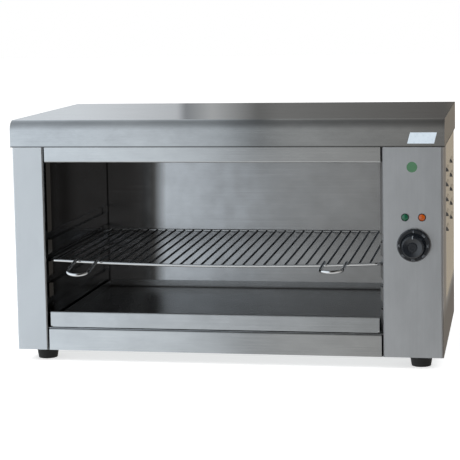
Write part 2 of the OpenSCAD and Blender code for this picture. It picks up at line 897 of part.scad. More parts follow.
// Places of the thermostat's two screws, at a distance behind the front face
module stat_screw_places(back) {
    for (side = [-1, 1])
        facing_front(dial_x + side * stat_bolt / 2, front_y + back, dial_z) children();
}

// Mounting plate, housing and the bush through the panel
module thermostat_body() {
    color("#cfc9bb") difference() {
        union() {
            facing_back(dial_x, front_y + sheet_t, dial_z) {
                linear_extrude(plate_t) translate([-stat_w / 2, -plate_h / 2])
                    round_rect(stat_w, plate_h, plate_r);
                translate([-stat_w / 2, -stat_h / 2, plate_t]) cube([stat_w, stat_h, stat_t]);
            }
            facing_front(dial_x, stat_y, dial_z)
                cylinder(d = shaft_hole - 2 * loose, h = plate_t + sheet_t + 1.5);
        }
        facing_front(dial_x, stat_y + stat_t / 2, dial_z) cylinder(d = shaft_d + 2 * run, h = stat_t);
        stat_screw_places(sheet_t + stat_screw_l + 2)
            cylinder(d = screw_d + 2 * loose, h = stat_t);
    }
}

module thermostat_screws() {
    color(fastener) stat_screw_places(sheet_t + stat_screw_l) {
        cylinder(d = screw_d, h = sheet_t + stat_screw_l);
        translate([0, 0, sheet_t + stat_screw_l])
            cylinder(d1 = head_d, d2 = head_d - 3, h = head_h - 0.4);
    }
}

module thermostat_shaft() {
    back = stat_y + stat_t / 2 - seat;
    front = front_y - skirt_back - skirt_h - grip_h + knob_wall + shaft_gap;
    color(fastener) difference() {
        facing_front(dial_x, back, dial_z) cylinder(d = shaft_d, h = back - front);
        // Flat that drives the knob
        block([dial_x - shaft_d, front - cut, dial_z + shaft_d / 2 - shaft_flat],
            [dial_x + shaft_d, front_y - skirt_back - skirt_h, dial_z + shaft_d]);
    }
}

// Fine tube from the thermostat's housing to its bulb on the back liner
module capillary_tube() {
    r = capillary_bend;
    start_y = stat_y + stat_t;
    rise_z = dial_z + capillary_up;
    color(copper) {
        translate([dial_x, start_y, rise_z]) rotate([-90, 0, 0])
            wire(capillary_d, sensor_y - r - start_y);
        translate([dial_x, sensor_y - r, rise_z]) bead(capillary_d);
        translate([dial_x, sensor_y - r, rise_z + r]) rotate([90, 0, 90])
            wire_arc(r, capillary_d, 270, 90);
        translate([dial_x, sensor_y, rise_z + r]) {
            bead(capillary_d);
            wire(capillary_d, sensor_z - rise_z - 2 * r);
        }
        translate([dial_x, sensor_y, sensor_z - r]) bead(capillary_d);
        translate([dial_x - r, sensor_y, sensor_z - r]) rotate([90, 0, 0])
            wire_arc(r, capillary_d, 0, 90);
        translate([dial_x - r, sensor_y, sensor_z]) {
            bead(capillary_d);
            rotate([0, -90, 0]) wire(capillary_d, dial_x - r - bulb_x);
        }
    }
}

module sensor_bulb() {
    color(copper) translate([bulb_x, sensor_y, sensor_z]) rotate([0, -90, 0])
        wire(sensor_d, sensor_l);
}

module sensor_clips() {
    color(steel) for (x = [bulb_x - clip_in - clip_w, bulb_x - sensor_l + clip_in]) {
        translate([x, sensor_y, sensor_z]) rotate([0, 90, 0]) difference() {
            cylinder(d = sensor_d + 2 * clip_t, h = clip_w);
            translate([0, 0, -cut]) cylinder(d = sensor_d + 2 * run, h = clip_w + 2 * cut);
        }
        block([x, sensor_y + sensor_d / 2 + clip_t / 3, sensor_z - clip_drop],
            [x + clip_w, rear_y, sensor_z]);
    }
}

module control_knob() {
    grip_z = skirt_back + skirt_h;
    front_z = grip_z + grip_h;
    skirt_r = dial_d / 2;
    grip_r = grip_d / 2;
    groove = 1;
    boss_r = 6;
    color(black) facing_front(dial_x, front_y, dial_z) difference() {
        rotate_extrude($fn = 96) polygon([
            [0, skirt_back], [skirt_r, skirt_back], [skirt_r, skirt_back + 2], [skirt_r - 1.5, grip_z],
            [grip_r + 1.5 * groove, grip_z], [grip_r + groove, grip_z - groove], [grip_r, grip_z],
            [grip_r - 1, front_z - 2], [grip_r - 3, front_z], [boss_r + 0.5, front_z - 1.2],
            [boss_r, front_z + 0.6], [boss_r / 2, front_z + 0.6], [boss_r / 2 - 0.5, front_z],
            [0, front_z]]);
        // Room for the screw heads and the shaft
        translate([0, 0, skirt_back - cut]) cylinder(d = dial_d - 5, h = cut + 1.5);
        difference() {
            translate([0, 0, skirt_back - cut])
                cylinder(d = shaft_d + 2 * run, h = front_z - knob_wall - skirt_back + cut);
            translate([-shaft_d, shaft_d / 2 - shaft_flat + run, grip_z + seat])
                cube([2 * shaft_d, shaft_d, front_z]);
        }
    }
}

// Domed lens of a pilot lamp, in the ring of its holder
module lamp_lens(side) {
    rise = lens_out - lens_edge;
    dome_r = (pow(lens_d / 2, 2) + pow(rise, 2)) / (2 * rise);
    facing_front(dial_x + side * lamp_gap / 2, front_y, lamp_z) rotate_extrude() intersection() {
        translate([0, lens_out - dome_r]) circle(dome_r, $fn = 96);
        translate([0, -lens_in]) square([lens_d / 2, lens_in + lens_out]);
    }
}

// Ring and barrel of a pilot lamp, with two blades for the wires
module lamp_holder(side) {
    facing_front(dial_x + side * lamp_gap / 2, front_y, lamp_z) difference() {
        union() {
            cylinder(d1 = lamp_d, d2 = lamp_d - 0.6, h = lamp_ring_h);
            translate([0, 0, -lamp_barrel_l])
                cylinder(d = lamp_barrel, h = lamp_barrel_l + lamp_ring_h / 2);
            for (x = [-blade_w / 2, blade_w / 2])
                translate([x - blade_t / 2, -blade_w / 4, -lamp_barrel_l - blade_l])
                    cube([blade_t, blade_w / 2, blade_l + cut]);
        }
        translate([0, 0, -lens_in]) cylinder(d = lens_d + 2 * run, h = lens_in + lamp_ring_h + cut);
    }
}

module green_lamp_lens() {
    color("#1f7a52") lamp_lens(-1);
}

module amber_lamp_lens() {
    color("#d9711c") lamp_lens(1);
}

module green_lamp_holder() {
    color(black) lamp_holder(-1);
}

module amber_lamp_holder() {
    color(black) lamp_holder(1);
}

module lamp_nuts() {
    color(fastener) for (side = [-1, 1])
        facing_back(dial_x + side * lamp_gap / 2, front_y + sheet_t, lamp_z) difference() {
            cylinder(d = lamp_barrel + 5, h = lamp_nut_t, $fn = 6);
            translate([0, 0, -cut]) cylinder(d = lamp_barrel + 2 * run, h = lamp_nut_t + 2 * cut);
        }
}

// Places of the terminal block's screws, on its top
module terminal_places() {
    for (col = [-1, 0, 1], row = [-1, 1])
        translate([dial_x + col * terminal_pitch, terminal_y + row * terminal_row,
            base_z + sheet_t + terminal_h]) children();
}

// Ceramic terminal block on the base plate, with wire entries from both long sides
module terminal_block() {
    color(ceramic) difference() {
        block([dial_x - terminal_w / 2, terminal_y - terminal_d / 2, base_z + sheet_t],
            [dial_x + terminal_w / 2, terminal_y + terminal_d / 2, base_z + sheet_t + terminal_h]);
        terminal_places() translate([0, 0, -terminal_deep])
            cylinder(d = terminal_screw + 2 * run, h = terminal_deep + cut);
        for (col = [-1, 0, 1])
            translate([dial_x + col * terminal_pitch, terminal_y, base_z + sheet_t + terminal_h / 2 - 2])
                rotate([90, 0, 0]) cylinder(d = 4, h = terminal_d + 2 * cut, center = true);
    }
}

module terminal_screws() {
    slot = 1;
    color(brass) terminal_places() translate([0, 0, -terminal_deep]) difference() {
        cylinder(d = terminal_screw, h = terminal_deep - 1);
        translate([-terminal_screw, -slot / 2, terminal_deep - 2])
            cube([2 * terminal_screw, slot, 2]);
    }
}

// Gland in the back panel, with a clear bore for the mains cord
module cord_gland() {
    cap_d = gland_hex - 3;
    taper = 4;
    color(black) facing_back(gland_x, back_y, gland_z) difference() {
        union() {
            translate([0, 0, -sheet_t - gland_in]) cylinder(d = gland_thread, h = gland_in + sheet_t + cut);
            cylinder(d = gland_hex, h = 6, $fn = 6);
            cylinder(d = cap_d, h = gland_out - taper);
            translate([0, 0, gland_out - taper]) cylinder(d1 = cap_d, d2 = gland_bore + 4, h = taper);
        }
        translate([0, 0, -sheet_t - gland_in - cut])
            cylinder(d = gland_bore, h = gland_in + sheet_t + gland_out + 2 * cut);
    }
}

module gland_locknut() {
    nut = 5;
    color(black) facing_front(gland_x, back_y - sheet_t, gland_z) difference() {
        cylinder(d = gland_hex, h = nut, $fn = 6);
        translate([0, 0, -cut]) cylinder(d = gland_thread + 2 * run, h = nut + 2 * cut);
    }
}

module earth_stud() {
    color(brass) facing_back(earth_x, back_y - earth_in, gland_z)
        cylinder(d = earth_d, h = earth_in + earth_out);
}

// Nuts of the earth stud, inside and outside the back panel
module earth_nuts() {
    color(brass) for (z = [-sheet_t - nut_t, 0])
        facing_back(earth_x, back_y + z, gland_z) difference() {
            cylinder(d = earth_d + 4, h = nut_t, $fn = 6);
            translate([0, 0, -cut]) cylinder(d = earth_d + 2 * run, h = nut_t + 2 * cut);
        }
}

// Rubber foot with a recess for its screw
module foot(side, y) {
    translate([side * (half_w - foot_in), y, 0]) difference() {
        cylinder(d1 = foot_low_d, d2 = foot_d, h = foot_h);
        translate([0, 0, -cut]) cylinder(d = foot_recess, h = foot_h / 2 + cut);
        translate([0, 0, -cut]) cylinder(d = foot_screw_d + 2 * loose, h = foot_h + 2 * cut);
    }
}

module front_left_foot() {
    color(black) foot(-1, front_y + foot_back);
}

module front_right_foot() {
    color(black) foot(1, front_y + foot_back);
}

module rear_left_foot() {
    color(black) foot(-1, back_y - foot_back);
}

module rear_right_foot() {
    color(black) foot(1, back_y - foot_back);
}

module foot_screws() {
    head = 3;
    color(fastener) foot_places() {
        translate([0, 0, -foot_h / 2])
            cylinder(d = foot_screw_d, h = foot_h / 2 + sheet_t + nut_t + 2);
        translate([0, 0, -foot_h / 2 - head])
            cylinder(d1 = foot_screw_d + 1, d2 = 2 * foot_screw_d, h = head);
    }
}

module foot_nuts() {
    color(fastener) foot_places() translate([0, 0, sheet_t]) difference() {
        cylinder(d = foot_screw_d + 4.2, h = nut_t, $fn = 6);
        translate([0, 0, -cut]) cylinder(d = foot_screw_d + 2 * run, h = nut_t + 2 * cut);
    }
}

// Domed screw with its seat at z = 0 and its shank below
module pan_screw(shank) {
    translate([0, 0, -shank]) cylinder(d = screw_d, h = shank);
    cylinder(d1 = head_d, d2 = head_d - 3, h = head_h);
}

module back_panel_screws() {
    color(fastener) for (side = [-1, 1])
        back_screw_places(side) pan_screw(6);
}

module cover_screws() {
    color(fastener) cover_screw_places() pan_screw(8);
}

top_cover();
left_side_panel();
right_side_panel();
control_panel();
upper_front_rail();
lower_front_rail();
back_panel();
base_plate();
left_liner();
right_liner();
back_liner();
chamber_floor();
ceiling_reflector();
crumb_tray();
rack_rim();
rack_bars();
rack_handle_left();
rack_handle_right();
front_heating_tube();
rear_heating_tube();
tube_bushings();
tube_locknuts();
tube_insulators();
tube_terminals();
left_tube_hanger();
right_tube_hanger();
thermostat_body();
thermostat_screws();
thermostat_shaft();
capillary_tube();
sensor_bulb();
sensor_clips();
control_knob();
green_lamp_lens();
amber_lamp_lens();
green_lamp_holder();
amber_lamp_holder();
lamp_nuts();
terminal_block();
terminal_screws();
cord_gland();
gland_locknut();
earth_stud();
earth_nuts();
front_left_foot();
front_right_foot();
rear_left_foot();
rear_right_foot();
foot_screws();
foot_nuts();
back_panel_screws();
cover_screws();
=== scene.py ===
import math

import bpy
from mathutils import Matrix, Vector


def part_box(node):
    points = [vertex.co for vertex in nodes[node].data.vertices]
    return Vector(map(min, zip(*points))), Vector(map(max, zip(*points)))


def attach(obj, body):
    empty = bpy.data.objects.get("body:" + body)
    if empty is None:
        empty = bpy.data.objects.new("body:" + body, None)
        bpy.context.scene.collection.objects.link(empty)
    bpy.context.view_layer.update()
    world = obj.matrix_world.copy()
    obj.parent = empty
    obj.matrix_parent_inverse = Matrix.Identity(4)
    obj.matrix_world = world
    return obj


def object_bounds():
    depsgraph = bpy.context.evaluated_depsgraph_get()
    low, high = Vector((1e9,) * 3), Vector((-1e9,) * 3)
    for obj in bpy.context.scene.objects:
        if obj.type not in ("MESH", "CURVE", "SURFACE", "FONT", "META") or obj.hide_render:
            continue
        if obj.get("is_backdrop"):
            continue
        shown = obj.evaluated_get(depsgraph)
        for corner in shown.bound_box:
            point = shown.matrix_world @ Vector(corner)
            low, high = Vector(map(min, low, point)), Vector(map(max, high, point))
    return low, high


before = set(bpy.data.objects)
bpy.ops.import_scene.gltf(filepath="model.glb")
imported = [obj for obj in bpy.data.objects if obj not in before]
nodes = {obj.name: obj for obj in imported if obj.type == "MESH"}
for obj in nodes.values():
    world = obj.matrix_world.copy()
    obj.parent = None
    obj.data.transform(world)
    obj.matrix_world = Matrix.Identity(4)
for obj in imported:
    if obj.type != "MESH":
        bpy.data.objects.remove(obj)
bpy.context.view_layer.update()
scene = bpy.context.scene
scene.view_settings.view_transform = "Standard"
print("grill frame loaded:", len(nodes), "nodes")


def linear(hexColour):
    parts = [int(hexColour[k:k + 2], 16) / 255 for k in (1, 3, 5)]
    return [c / 12.92 if c <= 0.04045 else ((c + 0.055) / 1.055) ** 2.4 for c in parts] + [1]


def addNode(tree, kind, inputs=None, links=None, **settings):
    made = tree.nodes.new(kind)
    for name, value in settings.items():
        setattr(made, name, value)
    for name, value in (inputs or {}).items():
        made.inputs[name].default_value = value
    for name, source in (links or {}).items():
        tree.links.new(source, made.inputs[name])
    return made


def newMaterial(name, **sockets):
    made = bpy.data.materials.new(name)
    made.use_nodes = True
    shader = made.node_tree.nodes["Principled BSDF"]
    for socket, value in sockets.items():
        shader.inputs[socket.replace("_", " ")].default_value = value
    return made, made.node_tree, shader


# most of a noise lies between these levels, a smudge's in a narrower span
noiseSpan = {"From Min": 0.3, "From Max": 0.7}
smudgeSpan = {"From Min": 0.35, "From Max": 0.65}
bumpStrength = 0.5
quarterTurn = 0.25


def mottled(tree, shader, dark, pale, coords, low, high, bumpDepth):
    # colour, gloss and relief follow one noise
    noise = addNode(tree, "ShaderNodeTexNoise", {"Scale": 1, "Detail": 4, "Roughness": 0.6},
                    {"Vector": coords})
    tone = addNode(tree, "ShaderNodeMix", {6: linear(dark), 7: linear(pale)},
                   {0: noise.outputs["Fac"]}, data_type="RGBA")
    gloss = addNode(tree, "ShaderNodeMapRange", {**noiseSpan, "To Min": low, "To Max": high},
                    {"Value": noise.outputs["Fac"]})
    tree.links.new(tone.outputs[2], shader.inputs["Base Color"])
    tree.links.new(gloss.outputs[0], shader.inputs["Roughness"])
    if bumpDepth:
        relief = addNode(tree, "ShaderNodeBump", {"Strength": bumpStrength, "Distance": bumpDepth},
                         {"Height": noise.outputs["Fac"]})
        tree.links.new(relief.outputs[0], shader.inputs["Normal"])


def grained(name, finish, grain):
    # sheet metal with lines along one axis, 0 is X, 1 is Y and 2 is Z
    made, tree, shader = newMaterial(name, Metallic=1.0)
    place = addNode(tree, "ShaderNodeTexCoord")
    density = [1 / finish["lineGap"]] * 3
    density[grain] = 1 / finish["lineLength"]
    lines = addNode(tree, "ShaderNodeMapping", {"Scale": density}, {"Vector": place.outputs["Object"]})
    mottled(tree, shader, finish["dark"], finish["pale"], lines.outputs[0],
            finish["glossLow"], finish["glossHigh"], finish["relief"])
    # reflections spread across the lines, a quarter turn from them
    brush = addNode(tree, "ShaderNodeCombineXYZ", {grain: 1})
    tree.links.new(brush.outputs[0], shader.inputs["Tangent"])
    shader.inputs["Anisotropic"].default_value = finish["spread"]
    shader.inputs["Anisotropic Rotation"].default_value = quarterTurn
    if "wear" in finish:
        # wiped smudges, a few centimetres across and longer along the lines
        wear = finish["wear"]
        spots = [1 / wear["size"]] * 3
        spots[grain] /= wear["stretch"]
        wide = addNode(tree, "ShaderNodeMapping", {"Scale": spots}, {"Vector": place.outputs["Object"]})
        smudge = addNode(tree, "ShaderNodeTexNoise", {"Scale": 1, "Detail": 5, "Roughness": 0.65},
                         {"Vector": wide.outputs[0]})
        wiped = addNode(tree, "ShaderNodeMapRange", {**smudgeSpan, "To Min": 1 - wear["depth"]},
                        {"Value": smudge.outputs["Fac"]})
        tone = shader.inputs["Base Color"].links[0].from_socket
        worn = addNode(tree, "ShaderNodeMix", {0: 1}, {6: tone, 7: wiped.outputs[0]}, data_type="RGBA",
                       blend_type="MULTIPLY")
        tree.links.new(worn.outputs[2], shader.inputs["Base Color"])
    for paintedShade in finish.get("paintedShades", []):
        # painted shade: darker about one place along a direction, standing in for shade or a dark
        # reflection there, and unpainted further off
        along = addNode(tree, "ShaderNodeVectorMath", {1: paintedShade["along"]}, {0: place.outputs["Object"]},
                        operation="DOT_PRODUCT")
        past = addNode(tree, "ShaderNodeMath", {1: paintedShade["at"]}, {0: along.outputs["Value"]},
                       operation="SUBTRACT")
        away = addNode(tree, "ShaderNodeMath", {}, {0: past.outputs[0]}, operation="ABSOLUTE")
        clean = addNode(tree, "ShaderNodeMapRange", {"From Min": paintedShade["dark"],
                                                     "From Max": paintedShade["clean"]},
                        {"Value": away.outputs[0]})
        tone = shader.inputs["Base Color"].links[0].from_socket
        paintedTone = addNode(tree, "ShaderNodeMix", {6: linear(paintedShade["colour"])},
                          {0: clean.outputs[0], 7: tone}, data_type="RGBA")
        tree.links.new(paintedTone.outputs[2], shader.inputs["Base Color"])
        if "gloss" in paintedShade:
            gloss = shader.inputs["Roughness"].links[0].from_socket
            dulled = addNode(tree, "ShaderNodeMix", {2: paintedShade["gloss"]}, {0: clean.outputs[0], 3: gloss})
            tree.links.new(dulled.outputs[0], shader.inputs["Roughness"])
    if "lean" in finish:
        # steeper at the foot than at the top
        axes = addNode(tree, "ShaderNodeSeparateXYZ", {}, {0: place.outputs["Object"]})
        slope = addNode(tree, "ShaderNodeMath", {1: -finish["bow"] / 2, 2: finish["lean"]},
                        {0: axes.outputs["Z"]}, operation="MULTIPLY_ADD")
        rise = addNode(tree, "ShaderNodeMath", {}, {0: axes.outputs["Z"], 1: slope.outputs[0]},
                       operation="MULTIPLY")
        wide = addNode(tree, "ShaderNodeMapping", {"Scale": [1 / finish["buckle"]] * 3},
                       {"Vector": place.outputs["Object"]})
        dents = addNode(tree, "ShaderNodeTexNoise", {"Scale": 1, "Detail": 2},
                        {"Vector": wide.outputs[0]})
        shape = addNode(tree, "ShaderNodeMath", {1: finish["buckleDepth"]},
                        {0: dents.outputs["Fac"], 2: rise.outputs[0]}, operation="MULTIPLY_ADD")
        leaning = addNode(tree, "ShaderNodeBump", {"Strength": 1, "Distance": 1},
                          {"Height": shape.outputs[0]}, invert=True)
        tree.links.new(leaning.outputs[0], shader.inputs["Normal"])
    return made


def speckled(name, finish):
    # moulded, cast, plated or drawn surfaces with an even grain
    made, tree, shader = newMaterial(name, Metallic=finish.get("metal", 0.0))
    place = addNode(tree, "ShaderNodeTexCoord")
    even = addNode(tree, "ShaderNodeMapping", {"Scale": [1 / finish["grit"]] * 3},
                   {"Vector": place.outputs["Object"]})
    mottled(tree, shader, finish["dark"], finish["pale"], even.outputs[0],
            finish["glossLow"], finish["glossHigh"], finish["relief"])
    if "ior" in finish:
        shader.inputs["IOR"].default_value = finish["ior"]
    return made


# 304 stainless sheet, brushed: soft reflections and fine lines.
# Real lines are 0.1 mm apart, drawn at 0.9 mm so that they show
brushedSheet = {"dark": "#c2c4c6", "pale": "#d4d6d8", "lineGap": 0.0009, "lineLength": 0.11,
                "glossLow": 0.16, "glossHigh": 0.2, "relief": 0.00001, "spread": 1.0,
                "wear": {"size": 0.03, "stretch": 2.5, "depth": 0.1}}
casingX = grained("stainless 304 brushed along X", brushedSheet, 0)
# the sides have fainter lines and softer reflections
sideSheet = dict(brushedSheet, dark="#c7c9cb", pale="#d0d2d4", glossLow=0.22, glossHigh=0.26,
                 relief=0.000004, spread=0.6)
casingZ = grained("stainless 304 brushed along Z", dict(
    sideSheet, wear=dict(brushedSheet["wear"], depth=0.05)), 2)
# the right side is painted darker and duller low down and near the front, in place of the dark
# reflection there
reflectionPaintedZ = grained("stainless 304 brushed along Z, painted dark reflection", dict(
    sideSheet,
    paintedShades=[{"along": (0, 1, 0), "at": -0.15, "dark": 0.05, "clean": 0.08,
             "colour": "#c3beba", "gloss": 0.65},
            {"along": (0, 0, 1), "at": 0.018, "dark": 0.048, "clean": 0.072,
             "colour": "#b0a9a3", "gloss": 0.95}]), 2)
# the control panel is the duller side of the sheet, with a greyer, duller strip painted along its inner
# edge in place of the dark reflection there
panelZ = grained("stainless 304 brushed along Z, dull", dict(
    brushedSheet, dark="#cbcbcc", pale="#d4d4d5", glossLow=0.3, glossHigh=0.35,
    relief=0.000004, spread=0.5, wear=dict(brushedSheet["wear"], depth=0.08),
    paintedShades=[{"along": (1, 0, 0), "at": 0.2202, "dark": 0.0014, "clean": 0.0022,
             "colour": "#a9a9aa", "gloss": 0.8}]), 2)
# the cover is of a greyer batch, with a painted shadow line along its lower edge and its right side
# painted darker and duller in place of the reflection there
coverX = grained("stainless 304 brushed along X, grey", dict(
    brushedSheet, dark="#b6b8ba", pale="#c4c6c8", glossLow=0.11, glossHigh=0.14,
    wear=dict(brushedSheet["wear"], size=0.02, depth=0.13),
    paintedShades=[{"along": (1, 0, 0), "at": 0.305, "dark": 0.0001, "clean": 0.0006,
             "colour": "#b9b4ae", "gloss": 0.55},
            {"along": (0, 0, 1), "at": 0.308, "dark": 0.0006, "clean": 0.0022, "colour": "#4a4a4a"}]), 0)
# 430 stainless, bright rolled: clearer reflections, faint rolling lines
rolledSheet = {"dark": "#b8babd", "pale": "#c8cacd", "lineGap": 0.0016, "lineLength": 0.16,
               "glossLow": 0.13, "glossHigh": 0.17, "relief": 0.000002, "spread": 0.4,
               "wear": {"size": 0.04, "stretch": 1.5, "depth": 0.12}}
chamberX = grained("stainless 430 rolled along X", rolledSheet, 0)
# the right wall is painted darker and duller near the front, in place of the dark reflection there
chamberY = grained("stainless 430 rolled along Y, painted dark reflection", dict(
    rolledSheet,
    paintedShades=[{"along": (0, 1, 0), "at": -0.15, "dark": 0.022, "clean": 0.03,
             "colour": "#a8a6a4", "gloss": 0.85}]), 1)
# the left wall is painted dark near the front, as shade
frontShadedY = grained("stainless 430 rolled along Y, painted front shade", dict(
    rolledSheet,
    paintedShades=[{"along": (0, 1, 0), "at": -0.15, "dark": 0.015, "clean": 0.05, "colour": "#4c4a48"}]), 1)
# the back wall has bowed in the heat and faces up a little, with a painted dark streak near its left end
# in place of a reflection's shade and painted shade in the left corner
bowedX = grained("stainless 430 rolled along X, bowed", dict(
    rolledSheet, relief=0, lean=0.159, bow=0.45, buckle=0.07, buckleDepth=0.0003,
    paintedShades=[{"along": (1, 0, -0.02), "at": -0.1825, "dark": 0.002, "clean": 0.022, "colour": "#5f5d5b"},
            {"along": (1, 0, 0), "at": -0.2535, "dark": 0, "clean": 0.0015, "colour": "#1e1d1c"}]), 0)
# the tray is of the brighter casing steel with the chamber's finish, painted darker along the rear fold
# as shade, with a darker line in the fold
trayX = grained("stainless 304 rolled along X", dict(
    rolledSheet, dark="#c4c6c8", pale="#d2d4d6", glossLow=0.22, glossHigh=0.27,
    paintedShades=[{"along": (0, -1, 20), "at": 0.862, "dark": 0, "clean": 0.088, "colour": "#5a5856"},
            {"along": (0, -1, 20), "at": 0.879, "dark": 0, "clean": 0.013, "colour": "#4a4846"}]), 0)
# aluminised steel, rolled: pale and satin
reflector = grained("aluminised steel rolled", {
    "dark": "#c9cbcc", "pale": "#dfe1e2", "lineGap": 0.002, "lineLength": 0.12,
    "glossLow": 0.25, "glossHigh": 0.35, "relief": 0.000005, "spread": 0.5}, 0)
# hot dipped zinc: matt grey with spangle 6 mm across
galvanised = speckled("galvanised steel dipped", {
    "dark": "#8b9093", "pale": "#b3b8bb", "grit": 0.006, "metal": 1.0,
    "glossLow": 0.34, "glossHigh": 0.5, "relief": 0.00001})
# chromium plate on drawn wire: near mirror
chromed = speckled("chromium plate on drawn wire", {
    "dark": "#dfe1e3", "pale": "#f0f1f3", "grit": 0.004, "metal": 1.0,
    "glossLow": 0.12, "glossHigh": 0.18, "relief": 0})
# the same plate after years of heat: grey and dull
dulledChrome = speckled("chromium plate dulled by heat", {
    "dark": "#6c6f72", "pale": "#8b8e91", "grit": 0.003, "metal": 1.0,
    "glossLow": 0.36, "glossHigh": 0.46, "relief": 0})
# heat resisting nickel steel, oxidised in use: brownish grey, satin
sheath = speckled("nickel steel tube oxidised", {
    "dark": "#57524c", "pale": "#7d776f", "grit": 0.003, "metal": 1.0,
    "glossLow": 0.38, "glossHigh": 0.5, "relief": 0.00001})
brassTurned = speckled("brass turned", {
    "dark": "#b18a42", "pale": "#cfab62", "grit": 0.0015, "metal": 1.0,
    "glossLow": 0.22, "glossHigh": 0.34, "relief": 0})
zincPlate = speckled("zinc plate on steel", {
    "dark": "#aeb2b5", "pale": "#c9cdd0", "grit": 0.002, "metal": 1.0,
    "glossLow": 0.24, "glossHigh": 0.36, "relief": 0})
copperDrawn = speckled("copper drawn", {
    "dark": "#a8643f", "pale": "#c98a63", "grit": 0.003, "metal": 1.0,
    "glossLow": 0.24, "glossHigh": 0.36, "relief": 0})
# steatite, unglazed: chalky off-white
steatite = speckled("steatite ceramic fired", {
    "dark": "#ddd7c8", "pale": "#ece8dd", "grit": 0.0012,
    "glossLow": 0.5, "glossHigh": 0.62, "relief": 0.00002})
creamPhenolic = speckled("phenolic resin cream moulded", {
    "dark": "#bdb39c", "pale": "#cdc4af", "grit": 0.002,
    "glossLow": 0.4, "glossHigh": 0.5, "relief": 0.00001})
# phenolic resin, polished mould: deep black with clear highlights
blackPhenolic = speckled("phenolic resin black moulded", {
    "dark": "#13161a", "pale": "#1b1f25", "grit": 0.0016, "ior": 1.6,
    "glossLow": 0.16, "glossHigh": 0.24, "relief": 0.000004})
blackNylon = speckled("nylon black moulded", {
    "dark": "#191a1c", "pale": "#242527", "grit": 0.0014,
    "glossLow": 0.42, "glossHigh": 0.55, "relief": 0.00001})
rubber = speckled("rubber black moulded", {
    "dark": "#141414", "pale": "#202020", "grit": 0.0012,
    "glossLow": 0.6, "glossHigh": 0.75, "relief": 0.00003})
# polycarbonate, tinted and unlit: deep colour under a clear gloss
greenLens = speckled("polycarbonate green moulded", {
    "dark": "#0a3d29", "pale": "#155c40", "grit": 0.003, "ior": 1.58,
    "glossLow": 0.08, "glossHigh": 0.14, "relief": 0.00001})
amberLens = speckled("polycarbonate amber moulded", {
    "dark": "#702502", "pale": "#c45d0c", "grit": 0.0022, "ior": 1.58,
    "glossLow": 0.08, "glossHigh": 0.14, "relief": 0.00001})
greyPrint = speckled("ink grey printed", {
    "dark": "#6c7177", "pale": "#82878d", "grit": 0.0008,
    "glossLow": 0.4, "glossHigh": 0.5, "relief": 0})
greenVinyl = speckled("vinyl green printed", {
    "dark": "#3a6347", "pale": "#4d7657", "grit": 0.0015,
    "glossLow": 0.3, "glossHigh": 0.4, "relief": 0})
paleVinyl = speckled("vinyl silver white printed", {
    "dark": "#bccad6", "pale": "#d3dee7", "grit": 0.004,
    "glossLow": 0.25, "glossHigh": 0.35, "relief": 0})

finishes = [
    (coverX, "top_cover"),
    (casingX, "upper_front_rail lower_front_rail back_panel"),
    (trayX, "crumb_tray"),
    (casingZ, "left_side_panel"),
    (reflectionPaintedZ, "right_side_panel"),
    (panelZ, "control_panel"),
    (bowedX, "back_liner"),
    (chamberX, "chamber_floor"),
    (frontShadedY, "left_liner"),
    (chamberY, "right_liner"),
    (reflector, "ceiling_reflector"),
    (galvanised, "base_plate sensor_clips left_tube_hanger right_tube_hanger"),
    (chromed, "rack_rim rack_handle_left rack_handle_right"),
    (dulledChrome, "rack_bars"),
    (sheath, "front_heating_tube rear_heating_tube"),
    (brassTurned, "tube_bushings terminal_screws earth_stud earth_nuts"),
    (zincPlate, "tube_locknuts tube_terminals thermostat_screws thermostat_shaft lamp_nuts "
                "foot_screws foot_nuts back_panel_screws cover_screws"),
    (steatite, "tube_insulators terminal_block"),
    (creamPhenolic, "thermostat_body"),
    (copperDrawn, "capillary_tube sensor_bulb"),
    (blackPhenolic, "control_knob"),
    (greenLens, "green_lamp_lens"),
    (amberLens, "amber_lamp_lens"),
    (blackNylon, "green_lamp_holder amber_lamp_holder cord_gland gland_locknut"),
    (rubber, "front_left_foot front_right_foot rear_left_foot rear_right_foot"),
]
for material, names in finishes:
    for name in names.split():
        nodes[name].data.materials.clear()
        nodes[name].data.materials.append(material)
print("materials on", sum(len(names.split()) for material, names in finishes), "nodes")


def freshStart():
    if bpy.context.object and bpy.context.object.mode != "OBJECT":
        bpy.ops.object.mode_set(mode="OBJECT")
    bpy.ops.object.select_all(action="DESELECT")


def pick(obj, wanted):
    # edit mode with only the wanted corners selected
    bpy.ops.object.mode_set(mode="EDIT")
    bpy.ops.mesh.select_all(action="DESELECT")
    bpy.ops.object.mode_set(mode="OBJECT")
    for corner in obj.data.vertices:
        corner.select = wanted(corner.co)
    bpy.ops.object.mode_set(mode="EDIT")


def settle(obj, name, material, body):
    # place goes into the mesh, then the piece rides on its body
    freshStart()
    obj.select_set(True)
    bpy.context.view_layer.objects.active = obj
    bpy.ops.object.transform_apply(location=True, rotation=True, scale=True)
    obj.name = name
    obj.data.name = name
    obj.data.materials.clear()
    obj.data.materials.append(material)
    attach(obj, body)
    return obj


# blank round sticker on the control panel
disc = {"radius": 0.0072, "corners": 48, "thick": 0.0002, "x": 0.2607, "z": 0.2807}
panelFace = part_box("control_panel")[0].y
freshStart()
bpy.ops.mesh.primitive_circle_add(vertices=disc["corners"], radius=disc["radius"], fill_type="NGON",
                                  location=(disc["x"], panelFace, disc["z"]),
                                  rotation=(math.radians(90), 0, 0))
bpy.ops.object.mode_set(mode="EDIT")
bpy.ops.mesh.extrude_region_move(TRANSFORM_OT_translate={"value": (0, -disc["thick"], 0)})
bpy.ops.mesh.select_all(action="SELECT")
bpy.ops.mesh.normals_make_consistent(inside=False)
bpy.ops.object.mode_set(mode="OBJECT")
settle(bpy.context.object, "blankDisc", greenVinyl, "casing")

